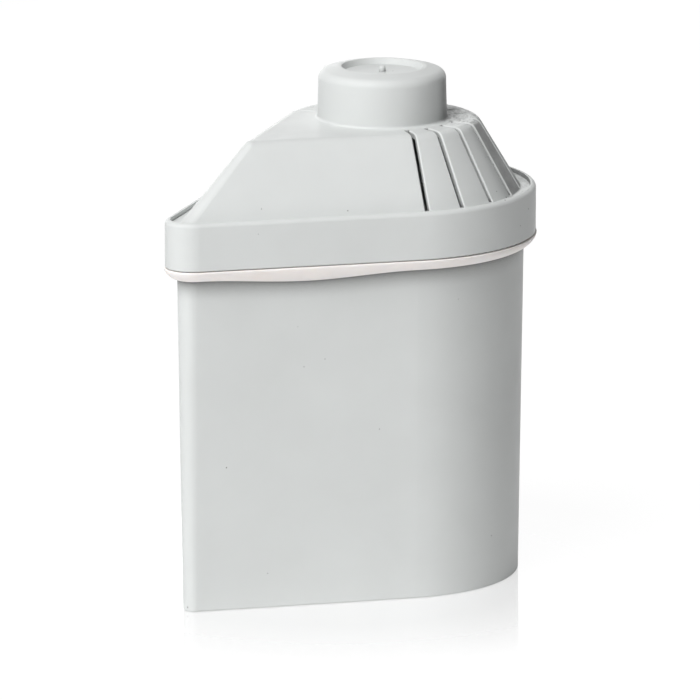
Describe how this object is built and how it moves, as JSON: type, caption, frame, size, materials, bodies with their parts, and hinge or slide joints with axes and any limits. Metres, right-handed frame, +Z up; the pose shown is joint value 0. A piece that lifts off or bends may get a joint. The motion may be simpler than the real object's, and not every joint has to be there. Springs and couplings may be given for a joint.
{
  "type": "water pitcher filter cartridge",
  "caption": "Teardrop gravity filter cartridge for a water pitcher, with a domed slotted lid, finger knob and soft sealing ring.",
  "frame": {"origin": "centre of the overall box in plan, at the bottom of the cup's foot rim", "axes": "+Z up through the knob, +X along the teardrop from the nose to the round end, +Y across it"},
  "size_m": [0.1024, 0.0718, 0.1195],
  "materials": {
    "shell": "satin moulded polypropylene, cool pale grey",
    "seal": "soft cream elastomer",
    "felt": "white needled felt",
    "granules": "dark carbon and amber resin granules"
  },
  "bodies": {
    "root": {"lid": "shell", "body_shell": "shell", "seal_ring": "seal", "inlet_fleece": "felt", "media_bed": "granules", "outlet_fleece": "felt"}
  },
  "joints": []
}
